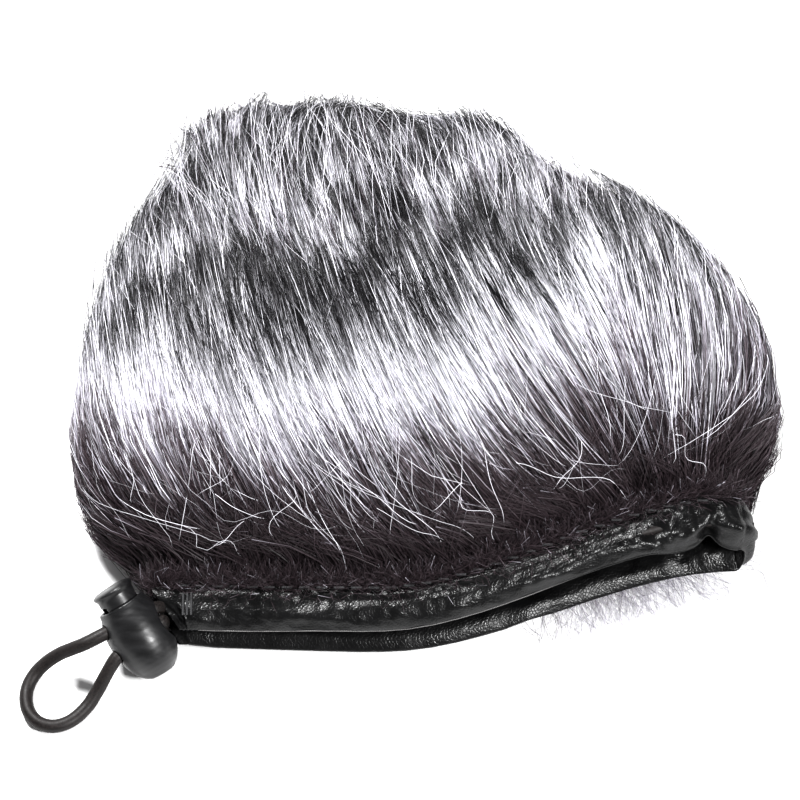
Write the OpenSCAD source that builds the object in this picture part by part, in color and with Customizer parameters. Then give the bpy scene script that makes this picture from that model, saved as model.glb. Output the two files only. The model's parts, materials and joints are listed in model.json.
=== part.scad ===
// Furry windscreen for a handheld recorder: a long-pile fur pouch with a leatherette
// drawcord hem, lying on its back. +X runs across the mouth, +Y from the mouth to the
// crown, +Z up. The origin is on the surface it lies on, under the middle of the pouch.

/* [Pouch] */
// Width of the mouth, end to end
mouth_w = 120; // [90:1:150]
// Depth of the knitted pouch, hem to crown seam
pouch_l = 88; // [70:1:120]
// Height of the side seams above the surface
side_z = 14; // [12:0.5:20]
// How far the front cloth puffs up above the side seams
puff_up = 11; // [8:0.5:16]
// Thickness of the knitted ground cloth
cloth_t = 1.2; // [0.8:0.1:2]
// How much further back the right end of the mouth lies than the left end
mouth_slant = 17; // [5:0.5:24]
// Gap between the two casings at the mouth's open right part
open_gap = 6.5; // [2:0.5:10]
// Gap between the two casings at the mouth's nearly closed left part
closed_gap = 1; // [0.8:0.1:2]

/* [Fur] */
// Depth of the pile over the front of the pouch
pile_top = 20; // [14:0.5:26]
// Depth of the pile out past the side seams and the crown
pile_side = 11; // [8:0.5:15]
// Depth of the pile pressed flat under the pouch
pile_under = 9; // [5:0.5:10]

/* [Hem] */
// Width of the leatherette casing
hem_w = 9.4; // [8:0.2:14]
// Thickness of the casing with the cord in it
hem_t = 4; // [3.6:0.1:5]
// Slope of the front casing down to its lip, in degrees
hem_tilt = 26; // [10:1:35]
// How far the casing's lip stops short of its top edge at the cord's opening
hem_slant = 6; // [0:0.5:7]
// How far the middle of the hem sags towards the front
hem_sag = 1.5; // [0:0.1:3]
// How far the back casing's lip lies in front of the front casing's
hem_lead = 1.2; // [0.5:0.1:3]
// Radius of the thread in the seams
thread_r = 0.25; // [0.15:0.05:0.4]
// Pitch of the stitches
stitch_pitch = 3.4; // [2.5:0.1:6]

/* [Drawcord] */
// Diameter of the elastic cord
cord_d = 2.7; // [2.2:0.1:3]
// Radial space round the cord in its channel
channel_gap = 0.25; // [0.15:0.05:0.4]

/* [Cord lock] */
// Length of the body along its plunger
lock_l = 15.8; // [15:0.2:20]
// Largest radius of the body
lock_r = 6.3; // [6:0.1:8]
// Radius of the plunger
plunger_r = 3.8; // [3.6:0.1:4.4]
// How far the plunger presses in
plunger_travel = 2; // [1.5:0.1:2.4]
// Space between the middles of the two strands inside the lock
strand_gap = 4; // [3.2:0.1:5]
// Radial running clearance of the plunger
run_gap = 0.08; // [0.05:0.01:0.1]
// Radial space round each strand in the lock
strand_room = 0.2; // [0.1:0.05:0.3]
// Wire radius of the spring
wire_r = 0.2; // [0.15:0.05:0.25]
// Working turns of the spring
spring_turns = 2.5; // [2:0.5:3]

/* [Hidden] */

// Fabric sheets keep this far apart
sheet_gap = 0.15;
// The pouch's side seams as fractions of mouth_w across and pouch_l along, from the hem to
// the middle of the crown
left_side = [[0, 0], [-0.04, 0.19], [-0.028, 0.48], [0.03, 0.79], [0.135, 0.96], [0.36, 1]];
right_side = [[1, 0.187], [0.98, 0.38], [0.9, 0.61], [0.748, 0.84], [0.56, 0.97], [0.36, 1]];
// Middle of the mouth along X, and the front casing's top edge at its left end
mouth_mid_x = 4;
mouth_left = mouth_mid_x - mouth_w / 2;
mouth_y = 0.6 - pouch_l / 2;
pouch_mid = [mouth_mid_x - 4, mouth_y + 0.42 * pouch_l];
// Where the stages along the pouch finish: the mouth's shape, the pile's growth
mouth_fade = 0.3;
pile_fade = 0.28;
// Squareness of the slices at the mouth, above the side seams and below them
mouth_power = 0.4;
top_power = 0.75;
under_power = 0.42;
// How much the pile's underside is pressed out flat, across and towards the crown
press_across = 1.06;
press_along = 1.15;
// Depth of the pile over the front panel right beside the hem
pile_start = 1.5;
rings = 22;
steps = 20;
hem_steps = 26;

function smooth(t) = let (u = min(max(t, 0), 1)) u * u * (3 - 2 * u);
function ease(t) = let (u = min(max(t, 0), 1)) 1 - (1 - u) * (1 - u);
function mix(a, b, t) = a + (b - a) * t;
function unit(v) = v / norm(v);

// Catmull-Rom curve through points, t from 0 to 1
function curve_at(points, t) =
    let (
        last = len(points) - 1, u = min(max(t, 0), 1) * last, i = min(floor(u), last - 1), k = u - i,
        b = points[i], c = points[i + 1],
        a = i > 0 ? points[i - 1] : 2 * b - c,
        d = i < last - 1 ? points[i + 2] : 2 * c - b
    )
    0.5 * (2 * b + (c - a) * k + (2 * a - 5 * b + 4 * c - d) * k * k
        + (3 * b - a - 3 * c + d) * k * k * k);

// --- The pouch as a loft of upright slices, s from 0 at the hem to 1 at the crown -------

function side_point(side, s, grow) =
    let (
        q = curve_at(side, s),
        p = [mouth_left + q.x * mouth_w, mouth_y + q.y * pouch_l]
    )
    p + unit(p - pouch_mid) * grow;
// The hem's top edge against the straight line between its ends, f from left to right
function hem_bow(f) = mouth_slant * (smooth((f - 0.38) / 0.58) - f) - hem_sag * sin(180 * f);
// The front casing's middle above the surface where the mouth is closed and where it is open
mouth_closed = 1.5 * hem_t + closed_gap;
mouth_open = 1.5 * hem_t + open_gap;
function seam_z(s) = mix(mouth_mid_z, side_z, smooth(s / 0.4));
mouth_mid_z = hem_t / 2 + 2.4;
// Height of the front casing's middle: low at the left, open at the right, down at the end
function mouth_top(f) =
    mouth_closed + 1.8 * smooth(f / 0.4)
    + (mouth_open - mouth_closed - 1.8) * smooth((f - 0.35) / 0.45)
    - 3.5 * smooth((f - 0.92) / 0.08);
function crown_close(s) = sqrt(1 - s * s * s * s);
function height_up(s, f) =
    mix(mouth_top(f) + hem_t / 2 - mouth_mid_z, puff_up * crown_close(s), smooth(s / mouth_fade));
function height_down(s) =
    mix(mouth_mid_z - hem_t / 2, (seam_z(s) - pile_under) * crown_close(s), smooth(s / mouth_fade));

// A point of a layer: up is 1 above the side seams and -1 below, phi runs from the left seam
// at 0 to the right one at 180
function layer_point(up, s, phi, side_grow, z_grow, press = 1) =
    let (
        f = (1 - cos(phi)) / 2,
        plan = mix(side_point(left_side, s, side_grow), side_point(right_side, s, side_grow), f),
        power = mix(mouth_power, up > 0 ? top_power : under_power, smooth(s / mouth_fade)),
        height = (up > 0 ? height_up(s, f) : height_down(s)) + z_grow,
        y = plan.y + hem_bow(f) * (1 - smooth(s / 0.35))
    )
    [plan.x, y, seam_z(s) + up * (sheet_gap / 2 + height * min(1, press * pow(sin(phi), power)))];

function ring_s(i) = (1 - cos(90 * i / rings)) * 0.6 + 0.4 * i / rings;
function angle_at(j) = 180 * j / steps;

// Depth of the pile: above it follows the cloth, below it fills what is left between the
// cloth and the surface
function growth_up(s) = mix(pile_start, pile_top, ease(s / mouth_fade)) * crown_close(s);
function growth_down(s) =
    seam_z(s) * min(1, press_along * crown_close(s)) - height_down(s) - sheet_gap / 2;

// A slice of the pile's face, and one of the cloth shrunk inwards; each ends in a pole
function pile_ring(up, s) =
    let (
        side_grow = pile_side * ease(s / pile_fade),
        z_grow = up > 0 ? growth_up(s) : growth_down(s), press = up > 0 ? 1 : press_across
    )
    [for (j = [0 : steps]) layer_point(up, s, angle_at(j), side_grow, z_grow, press)];
function cloth_ring(up, s, shrink) =
    [for (j = [0 : steps]) layer_point(up, s, angle_at(j), -shrink, -shrink)];
function layer_pole(up, grow) =
    let (p = side_point(left_side, 1, grow)) [p.x, p.y, side_z + up * sheet_gap / 2];

// One half of a layer as a closed sheet: pile over the cloth, or the cloth itself
module half_layer(up, is_pile) {
    stages = [for (i = [0 : rings - 1]) ring_s(i)];
    inside = is_pile ? -sheet_gap : cloth_t;
    outer = [for (s = stages) each is_pile ? pile_ring(up, s) : cloth_ring(up, s, 0)];
    inner = [for (s = stages) each cloth_ring(up, s, inside)];
    poles = [layer_pole(up, is_pile ? pile_side : 0), layer_pole(up, -inside)];
    row = steps + 1;
    count = rings * row;
    end = (rings - 1) * row;
    faces = [
        for (i = [0 : rings - 2], j = [0 : steps - 1])
            let (a = i * row + j) each [
                [a, a + 1, a + row + 1], [a, a + row + 1, a + row],
                [count + a, count + a + row + 1, count + a + 1],
                [count + a, count + a + row, count + a + row + 1],
            ],
        for (j = [0 : steps - 1])
            each [[end + j, end + j + 1, 2 * count], [count + end + j, 2 * count + 1, count + end + j + 1]],
        for (j = [0 : steps - 1]) each [[j, count + j, j + 1], [j + 1, count + j, count + j + 1]],
        for (i = [0 : rings - 2])
            let (a = i * row, b = a + row) each [
                [a, b, count + a], [b, count + b, count + a],
                [a + steps, count + a + steps, b + steps],
                [b + steps, count + a + steps, count + b + steps],
            ],
        [end, 2 * count, count + end], [2 * count, 2 * count + 1, count + end],
        [end + steps, count + end + steps, 2 * count],
        [2 * count, count + end + steps, 2 * count + 1],
    ];
    polyhedron(concat(outer, inner, poles), up < 0 ? faces : [for (t = faces) [t[0], t[2], t[1]]]);
}

module fur_front() color("Gainsboro") half_layer(1, true);
module fur_back() color("DimGray") half_layer(-1, true);
module backing_front() color("SlateGray") half_layer(1, false);
module backing_back() color("SlateGray") half_layer(-1, false);

// --- Sweeps ------------------------------------------------------------------------------

// A closed solid through rings of points, all with the same number of points
module skin_rings(loops) {
    n = len(loops[0]);
    last = (len(loops) - 1) * n;
    polyhedron([for (l = loops) each l], [
        [for (k = [0 : n - 1]) k],
        [for (k = [n - 1 : -1 : 0]) last + k],
        for (i = [0 : len(loops) - 2], k = [0 : n - 1])
            let (a = i * n + k, b = i * n + (k + 1) % n) each [[a, b + n, b], [a, a + n, b + n]],
    ]);
}

// A ring of points round p, square to the direction d
function round_ring(p, d, r, sides) =
    let (
        t = unit(d), side = unit(cross(abs(t.z) < 0.9 ? [0, 0, 1] : [1, 0, 0], t)), rise = cross(t, side)
    )
    [for (k = [0 : sides - 1]) p + r * (cos(360 * k / sides) * side + sin(360 * k / sides) * rise)];
module tube(path, r, sides = 8) {
    last = len(path) - 1;
    skin_rings([
        for (i = [0 : last])
            round_ring(path[i], path[min(i + 1, last)] - path[max(i - 1, 0)], r, sides)
    ]);
}

// --- The hem -------------------------------------------------------------------------------

// Angles along the casing, clear of the ends of the mouth
hem_start = 24;
hem_stop = 172;
hem_ring_n = 16;
channel_r = cord_d / 2 + channel_gap;
function hem_angle(i) = mix(hem_start, hem_stop, i / hem_steps);
function hem_tip(up, phi) = up > 0 ? mix(8, hem_tilt, smooth((1 - cos(phi)) / 0.6)) : 0;
// Middle of the casing's section; it is a slice along X
function hem_middle(up, phi) =
    let (
        f = (1 - cos(phi)) / 2,
        edge = layer_point(up, 0, phi, 0, 0),
        back = (hem_w - hem_t) / 2 * cos(hem_tip(up, phi)) + hem_t / 2 + sheet_gap
    )
    [edge.x, edge.y - back - (up > 0 ? 0 : hem_lead), up > 0 ? mouth_top(f) : hem_t / 2];
// Points on the section, out of its middle: a straight strip with round edges
function hem_section(up, phi, w, t) =
    let (
        c = hem_middle(up, phi), tip = hem_tip(up, phi), run = (w - t) / 2,
        slant = hem_slant * (1 - smooth((phi - hem_start) / 20))
    )
    [
        for (k = [0 : hem_ring_n - 1])
            let (
                a = 360 * (k + 0.5) / hem_ring_n,
                u = sign(cos(a)) * run + cos(a) * t / 2,
                v = sin(a) * t / 2
            )
            c + [-slant * u / hem_w, u * cos(tip) - v * sin(tip), u * sin(tip) + v * cos(tip)]
    ];

// The folded casing: outside strip, and a round channel for the cord right through it
module casing(up) {
    outer = [for (i = [0 : hem_steps]) hem_section(up, hem_angle(i), hem_w, hem_t)];
    inner = [for (i = [0 : hem_steps]) hem_section(up, hem_angle(i), 2 * channel_r, 2 * channel_r)];
    n = hem_ring_n;
    count = (hem_steps + 1) * n;
    last = hem_steps * n;
    polyhedron([for (l = concat(outer, inner)) each l], [
        for (i = [0 : hem_steps - 1], k = [0 : n - 1])
            let (a = i * n + k, b = i * n + (k + 1) % n) each [
                [a, b + n, b], [a, a + n, b + n],
                [count + a, count + b, count + b + n], [count + a, count + b + n, count + a + n],
            ],
        for (k = [0 : n - 1])
            let (a = k, b = (k + 1) % n) each [
                [a, b, count + a], [b, count + b, count + a],
                [last + a, count + last + a, last + b], [last + b, count + last + a, count + last + b],
            ],
    ]);
}
module hem_front() color("#1c1c1e") casing(1);
module hem_back() color("#1c1c1e") casing(-1);

// A row of stitches across the casing's inner edge, into the cloth's side
module stitches(up) {
    reach = hem_w / 2 - 0.9;
    for (x = [mouth_left + 8 : stitch_pitch : mouth_left + mouth_w - 8]) {
        phi = acos(1 - 2 * (x - mouth_left) / mouth_w);
        tip = hem_tip(up, phi);
        c = hem_middle(up, phi);
        translate(c + [-stitch_pitch * 0.3, reach * cos(tip), reach * sin(tip)]
            + hem_t * 0.44 * [0, -sin(tip), cos(tip)])
            rotate([0, 90, 0]) cylinder(r = thread_r, h = stitch_pitch * 0.6, $fn = 16);
    }
}
module hem_stitches_front() color("#303034") stitches(1);
module hem_stitches_back() color("#303034") stitches(-1);

// Thread laid along the lip of the front casing
module lip_thread() {
    reach = hem_w / 2 + thread_r + 0.05;
    color("#c8c6c4") tube([
        for (i = [2 : hem_steps - 3])
            let (phi = hem_angle(i), tip = hem_tip(1, phi))
            hem_middle(1, phi) - reach * [0, cos(tip), sin(tip)]
    ], thread_r, 8);
}

// The facing that joins both casings inside the right end of the mouth
facing_t = 0.9;
facing_w = 4;
module mouth_facing() {
    phi = hem_stop;
    front = hem_middle(1, phi);
    back = hem_middle(-1, phi);
    low = back.z + hem_t / 2 + 0.2;
    high = front.z - hem_t / 2 / cos(hem_tilt) - facing_w / 2 * tan(hem_tilt) - 0.2;
    color("#232325")
        translate([front.x - 3 * facing_t, (front.y + back.y - facing_w) / 2, low])
        cube([facing_t, facing_w, high - low]);
}

// Bar tacks across the casing beside the opening the cord leaves by
module exit_tacks()
    color("#303034")
    for (up = [1, -1]) {
        tip = hem_tip(up, hem_start + 6);
        c = hem_middle(up, hem_start + 6);
        for (k = [0 : 2])
            translate(c + [0.8 * k, 0, 0] + (hem_t / 2 + thread_r * 0.6) * [0, -sin(tip), cos(tip)])
            rotate([tip, 0, 0])
            rotate([90, 0, 0])
            cylinder(r = thread_r, h = hem_w * 0.5, center = true, $fn = 16);
    }

// --- The drawcord --------------------------------------------------------------------------

cord_r = cord_d / 2;
module channel_cord(up)
    color("#141312")
    tube([for (i = [0 : hem_steps - 1]) hem_middle(up, hem_angle(i + 0.4))], cord_r);
module drawcord_front() channel_cord(1);
module drawcord_back() channel_cord(-1);

// Bar tack beyond the channel's right end, where both ends of the cord are caught
module cord_end_tack() {
    front = hem_middle(1, hem_stop);
    back = hem_middle(-1, hem_stop);
    color("#303034")
        translate([front.x + 0.3, (front.y + back.y) / 2 - 1.5, back.z])
        cube([0.8, 3, front.z - back.z]);
}

// The lock's own frame: its middle, the way its plunger points, the way the cord runs out
lock_at = [mouth_left - 0.4, mouth_y - 11.4, 7.6];
out_dir = unit([-0.8, -0.6, 0]);
lean = [-0.54, 0.67, 0.51];
plunger_dir = unit(lean - (lean * out_dir) * out_dir);
lock_up = cross(plunger_dir, out_dir);
// Middle of the two strands along the plunger, and how much they spread on the way out
strand_mid = 1.2;
strand_spread = 6;
function strand_point(k, out) =
    lock_at + out * out_dir
        + (strand_mid + k * (strand_gap / 2 + out * tan(strand_spread))) * plunger_dir;

// The free cord: points by hand from one side of the lock round the loop to the other, out of
// the mouth's left end
loop_points = [
    [-10.8, -14.1, 8.9], [-13.5, -14.4, 7.2], [-16, -14.6, 5.4], [-18.6, -15.5, 3.6],
    [-20.8, -17.2, 2.2], [-22.2, -19.7, 1.5], [-22.5, -22.6, 1.4], [-21.8, -25.3, 1.4],
    [-20, -27.4, 1.4], [-17.5, -28.3, 1.4], [-15, -27.9, 1.4], [-12.6, -26.4, 1.4],
    [-10.4, -24.1, 1.8], [-8.6, -21.6, 3], [-7, -19.2, 4.8],
];
// Where the strands run straight through the lock, from its hem side to its loop side
strand_in = 1.1 - lock_r;
strand_out = lock_r + 0.3;
strand_stops = [
    strand_in, 0.67 * strand_in, -1, 1.5, 0.55 * strand_out, 0.8 * strand_out, strand_out,
];
// The cord runs straight this far out of its channel
channel_lead = 1.8;
function cord_route() = concat(
    [hem_middle(1, hem_start), hem_middle(1, hem_start) - [channel_lead, 0, 0]],
    [for (out = strand_stops) strand_point(1, out)],
    [for (p = loop_points) p + [mouth_left, mouth_y, 0]],
    [for (i = [len(strand_stops) - 1 : -1 : 0]) strand_point(-1, strand_stops[i])],
    [hem_middle(-1, hem_start) - [channel_lead, 0, 0], hem_middle(-1, hem_start)]
);
loop_rings = 56;
module drawcord_loop()
    color("#141312")
    tube([for (i = [0 : loop_rings]) curve_at(cord_route(), i / loop_rings)], cord_r);

// --- The cord lock -------------------------------------------------------------------------

// Places a child drawn with its plunger along +Z and the cord running out along +X
module in_lock_frame()
    multmatrix([
        [out_dir.x, lock_up.x, plunger_dir.x, lock_at.x],
        [out_dir.y, lock_up.y, plunger_dir.y, lock_at.y],
        [out_dir.z, lock_up.z, plunger_dir.z, lock_at.z],
        [0, 0, 0, 1],
    ]) children();
lock_top = 7;
lock_bottom = lock_top - lock_l;
bore_r = plunger_r + run_gap;
slot_r = cord_r + strand_room;
slot_low = strand_mid - strand_gap / 2 - slot_r - 0.2;
slot_high = strand_mid + strand_gap / 2 + slot_r;
plunger_bottom = slot_low - 1.1;
bore_bottom = plunger_bottom - plunger_travel - 0.2;
spring_r = 2.3;
pocket_floor = 0.9;
pocket_bottom = lock_bottom + pocket_floor;
spring_l = plunger_bottom - pocket_bottom;

// Outline of the barrel: narrow neck, full middle, rounded bottom
module barrel_profile() {
    n = 14;
    neck_r = bore_r + 1;
    polygon([
        [0, lock_bottom],
        for (k = [0 : n])
            let (a = mix(-72, 50, k / n))
            [
                max(lock_r * pow(cos(a), 0.8), a > 0 ? neck_r : 0),
                mix(lock_bottom, lock_top, (sin(a) + sin(72)) / (sin(50) + sin(72))),
            ],
        [0, lock_top],
    ]);
}
module strand_holes(r, length)
    for (k = [1, -1])
        translate([0, 0, strand_mid + k * strand_gap / 2])
        rotate([0, 90 - k * strand_spread, 0])
        cylinder(r = r, h = length, center = true, $fn = 32);
// The recess that faces the hem, with two thin ribs left standing in it
module hem_recess() {
    recess_r = 6;
    difference() {
        translate([-lock_r - 3.6, 0, 0]) rotate([90, 0, 0])
            cylinder(r = recess_r, h = 4 * lock_r, center = true, $fn = 64);
        for (y = [-2.1, 2.1])
            translate([-2 * lock_r, y - 0.35, -recess_r]) cube([lock_r, 0.7, 2 * recess_r]);
    }
}
module lock_body()
    color("#1a1a1c")
    in_lock_frame()
    difference() {
        rotate_extrude($fn = 64) barrel_profile();
        translate([0, 0, bore_bottom]) cylinder(r = bore_r, h = 2 * lock_l, $fn = 64);
        translate([0, 0, pocket_bottom])
            cylinder(r = spring_r + 0.3, h = bore_bottom - pocket_bottom + 1, $fn = 48);
        strand_holes(slot_r, 4 * lock_r);
        hem_recess();
    }

head_r = plunger_r + 0.5;
head_h = 1.6;
head_z = lock_top + plunger_travel + 0.3;
module plunger_profile()
    polygon([
        [0, plunger_bottom], [plunger_r, plunger_bottom], [plunger_r, head_z],
        [head_r, head_z + head_h / 2],
        for (a = [20 : 20 : 80]) [head_r * pow(cos(a), 0.5), head_z + head_h / 2 * (1 + sin(a))],
        [0, head_z + head_h],
    ]);
module lock_plunger()
    color("#1a1a1c")
    in_lock_frame()
    difference() {
        rotate_extrude($fn = 64) plunger_profile();
        plunger_slot();
    }
// Room for both strands at every place of the plunger
module plunger_slot()
    translate([-2 * lock_r, -slot_r, slot_low])
    cube([4 * lock_r, 2 * slot_r, slot_high - slot_low + plunger_travel + 1.2]);

// A compression spring with one closed turn at each end
module lock_spring() {
    turn_steps = 12;
    end_space = 0.05;
    closed_pitch = 2 * wire_r + 0.06;
    open_pitch = (spring_l - 2 * (closed_pitch + wire_r + end_space)) / spring_turns;
    turns = spring_turns + 2;
    color("Silver") in_lock_frame() tube([
        for (i = [0 : turns * turn_steps])
            let (
                a = i / turn_steps,
                open_part = min(max(a - 1, 0), spring_turns),
                rise = (a - open_part) * closed_pitch + open_part * open_pitch
            )
            [
                (spring_r - wire_r) * cos(360 * a), (spring_r - wire_r) * sin(360 * a),
                pocket_bottom + wire_r + end_space + rise,
            ]
    ], wire_r, 6);
}

// --- The seam inside -----------------------------------------------------------------------

// The two sheets' edges meet near the side seams, where this angle round a slice lies
seam_phi = 28;
function seam_point(s, phi) =
    (layer_point(1, s, phi, -cloth_t, -cloth_t) + layer_point(-1, s, phi, -cloth_t, -cloth_t)) / 2;
module edge_seam() {
    n = 16;
    stages = [for (i = [2 : n]) 0.82 * i / n];
    color("#5c5a60") tube(concat(
        [for (s = stages) seam_point(s, seam_phi)],
        [for (i = [len(stages) - 1 : -1 : 0]) seam_point(stages[i], 180 - seam_phi)]
    ), 0.5, 8);
}

fur_front();
fur_back();
backing_front();
backing_back();
edge_seam();
hem_front();
hem_back();
hem_stitches_front();
hem_stitches_back();
lip_thread();
mouth_facing();
exit_tacks();
cord_end_tack();
drawcord_front();
drawcord_back();
drawcord_loop();
lock_body();
lock_plunger();
lock_spring();
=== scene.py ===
"""The looks of a furry windscreen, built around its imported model. Everything is in metres, in the row frame.

The fur is made of real strands: guide hairs are walked over the cloth towards the crown, between the
cloth and the CAD pile's outer face, and each guide gets a lock of hairs round it. A strand's map
coordinates say where it lies on the dye band (U, from dark root to black tip) and its own shade (V),
and one material paints them.
"""

import json
import math

import bpy
import numpy as np
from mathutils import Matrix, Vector, noise
from mathutils.bvhtree import BVHTree
from mathutils.kdtree import KDTree


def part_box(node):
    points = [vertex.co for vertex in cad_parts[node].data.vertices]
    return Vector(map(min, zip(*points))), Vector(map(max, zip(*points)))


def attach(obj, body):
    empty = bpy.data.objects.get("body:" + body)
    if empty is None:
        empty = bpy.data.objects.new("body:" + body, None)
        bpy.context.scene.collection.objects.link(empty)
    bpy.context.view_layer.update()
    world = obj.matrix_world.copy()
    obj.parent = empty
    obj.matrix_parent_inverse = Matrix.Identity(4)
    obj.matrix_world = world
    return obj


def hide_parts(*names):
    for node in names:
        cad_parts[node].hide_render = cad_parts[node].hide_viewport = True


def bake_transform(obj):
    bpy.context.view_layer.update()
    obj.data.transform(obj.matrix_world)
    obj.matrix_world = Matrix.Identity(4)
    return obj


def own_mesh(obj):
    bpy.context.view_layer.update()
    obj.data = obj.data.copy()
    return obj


MM = 0.001
UP = np.array([0.0, 0.0, 1.0])

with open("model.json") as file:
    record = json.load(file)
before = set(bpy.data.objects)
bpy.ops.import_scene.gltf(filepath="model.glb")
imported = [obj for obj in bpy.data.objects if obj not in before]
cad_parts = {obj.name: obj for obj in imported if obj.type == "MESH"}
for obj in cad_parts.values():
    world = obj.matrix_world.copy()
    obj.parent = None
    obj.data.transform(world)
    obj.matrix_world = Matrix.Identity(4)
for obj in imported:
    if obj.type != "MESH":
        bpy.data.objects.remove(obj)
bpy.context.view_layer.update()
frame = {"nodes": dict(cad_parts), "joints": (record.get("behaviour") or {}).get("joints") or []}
NODES = frame["nodes"]


# --- Reading the frame -------------------------------------------------------------------


def arrays(name):
    """A CAD node's points and triangles."""
    mesh = NODES[name].data
    mesh.calc_loop_triangles()
    points = np.empty(len(mesh.vertices) * 3, np.float32)
    corners = np.empty(len(mesh.loop_triangles) * 3, np.int32)
    mesh.vertices.foreach_get("co", points)
    mesh.loop_triangles.foreach_get("vertices", corners)
    return points.reshape(-1, 3).astype(float), corners.reshape(-1, 3)


def face_frames(points, triangles):
    """Each triangle's middle, unit normal and area."""
    a, b, c = (points[triangles[:, i]] for i in range(3))
    cross = np.cross(b - a, c - a)
    size = np.linalg.norm(cross, axis=1)
    return (a + b + c) / 3, cross / np.maximum(size, 1e-12)[:, None], size / 2


def outer_faces(name, up, middle):
    """A layer's triangles that look outwards: not its inside, where the two halves meet, or its mouth."""
    points, triangles = arrays(name)
    centre, normal, _ = face_frames(points, triangles)
    looks_out = ((centre - middle) * normal).sum(1) > 0
    meets = normal[:, 2] * up < -0.5
    hem_y = np.interp(centre[:, 0], HEM_LINE[:, 0], HEM_LINE[:, 1])
    faces_mouth = (normal[:, 1] < -0.55) & (centre[:, 1] < hem_y + 9 * MM)
    return points, triangles[looks_out & ~meets & ~faces_mouth]


def tree(parts):
    """One search tree over several (points, triangles) pairs."""
    points, faces, start = [], [], 0
    for p, t in parts:
        points.append(p)
        faces.append(t + start)
        start += len(p)
    return BVHTree.FromPolygons(np.concatenate(points).tolist(), np.concatenate(faces).tolist())


def cut_at(name, x):
    """Where the plane X = x cuts a node, as points (y, z)."""
    points, triangles = arrays(name)
    edges = np.unique(np.sort(triangles[:, [0, 1, 1, 2, 2, 0]].reshape(-1, 2), axis=1), axis=0)
    a, b = points[edges[:, 0]], points[edges[:, 1]]
    crosses = (a[:, 0] - x) * (b[:, 0] - x) < 0
    a, b = a[crosses], b[crosses]
    t = ((x - a[:, 0]) / (b[:, 0] - a[:, 0]))[:, None]
    return (a + (b - a) * t)[:, 1:]


# --- Small helpers -----------------------------------------------------------------------


def unit(v):
    return v / np.maximum(np.linalg.norm(v, axis=-1, keepdims=True), 1e-12)


def smooth(t):
    t = np.clip(t, 0, 1)
    return t * t * (3 - 2 * t)


def curve_at(points, t):
    """Catmull-Rom curve through points, for an array of t from 0 to 1."""
    p = np.asarray(points, float)
    p = np.concatenate([[2 * p[0] - p[1]], p, [2 * p[-1] - p[-2]]])
    u = np.clip(t, 0, 1) * (len(p) - 3)
    i = np.minimum(u.astype(int), len(p) - 4)
    k = (u - i)[:, None]
    a, b, c, d = p[i], p[i + 1], p[i + 2], p[i + 3]
    return 0.5 * (2 * b + (c - a) * k + (2 * a - 5 * b + 4 * c - d) * k**2 + (3 * b - a - 3 * c + d) * k**3)


def evenly(points, n):
    """n points at even distances along the smooth curve through points."""
    fine = curve_at(points, np.linspace(0, 1, 20 * len(points)))
    along = np.concatenate([[0], np.cumsum(np.linalg.norm(np.diff(fine, axis=0), axis=1))])
    at = np.linspace(0, along[-1], n)
    return np.stack([np.interp(at, along, fine[:, k]) for k in range(3)], axis=1)


def length_of(line):
    return float(np.linalg.norm(np.diff(line, axis=0), axis=1).sum())


def new_object(name, points, faces, material, shade_smooth=True):
    """An object from points and faces that all have the same number of corners."""
    faces = np.asarray(faces, np.int32)
    mesh = bpy.data.meshes.new(name)
    mesh.vertices.add(len(points))
    mesh.vertices.foreach_set("co", np.asarray(points, np.float32).ravel())
    mesh.loops.add(faces.size)
    mesh.loops.foreach_set("vertex_index", faces.ravel())
    mesh.polygons.add(len(faces))
    mesh.polygons.foreach_set("loop_start", np.arange(0, faces.size, faces.shape[1], dtype=np.int32))
    mesh.update(calc_edges=True)
    mesh.polygons.foreach_set("use_smooth", np.full(len(faces), shade_smooth))
    mesh.materials.append(material)
    thing = bpy.data.objects.new(name, mesh)
    bpy.context.scene.collection.objects.link(thing)
    return thing


def grid_faces(rows, row_len, closed):
    """Quads of a grid of points stored row by row; closed joins each row's end to its start."""
    wide = row_len if closed else row_len - 1
    i, k = np.meshgrid(np.arange(rows - 1), np.arange(wide), indexing="ij")
    a, b = i * row_len + k, i * row_len + (k + 1) % row_len
    return np.stack([a, b, b + row_len, a + row_len], axis=-1).reshape(-1, 4)


# --- Materials ---------------------------------------------------------------------------


class Nodes:
    """A material under construction: add nodes and links in one call each."""

    def __init__(self, name, **shader):
        self.material = bpy.data.materials.new(name)
        self.material.use_nodes = True
        self.tree = self.material.node_tree
        self.shader = self.tree.nodes["Principled BSDF"]
        for key, value in shader.items():
            self.shader.inputs[key.replace("_", " ")].default_value = value

    def add(self, kind, inputs=None, **settings):
        node = self.tree.nodes.new("ShaderNode" + kind)
        for key, value in settings.items():
            setattr(node, key, value)
        for key, value in (inputs or {}).items():
            if isinstance(value, bpy.types.NodeSocket):
                self.tree.links.new(value, node.inputs[key])
            else:
                node.inputs[key].default_value = value
        return node

    def link(self, socket, name):
        self.tree.links.new(socket, self.shader.inputs[name])

    def ramp(self, factor, stops):
        """A colour ramp through (place, (r, g, b)) stops."""
        node = self.add("ValToRGB", {"Fac": factor})
        line = node.color_ramp.elements
        while len(line) < len(stops):
            line.new(0.5)
        for stop, (place, colour) in zip(line, stops, strict=True):
            stop.position = place
            stop.color = (*colour, 1)
        return node.outputs["Color"]

    def value_ramp(self, factor, stops):
        return self.ramp(factor, [(place, (v, v, v)) for place, v in stops])

    def bump(self, height, strength, distance, below=None):
        inputs = {"Height": height, "Strength": strength, "Distance": distance}
        if below is not None:
            inputs["Normal"] = below
        return self.add("Bump", inputs).outputs["Normal"]

    def place(self, scale):
        """Object coordinates, stretched by scale along each axis."""
        where = self.add("TexCoord").outputs["Object"]
        return self.add("Mapping", {"Vector": where, "Scale": scale}).outputs["Vector"]


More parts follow.
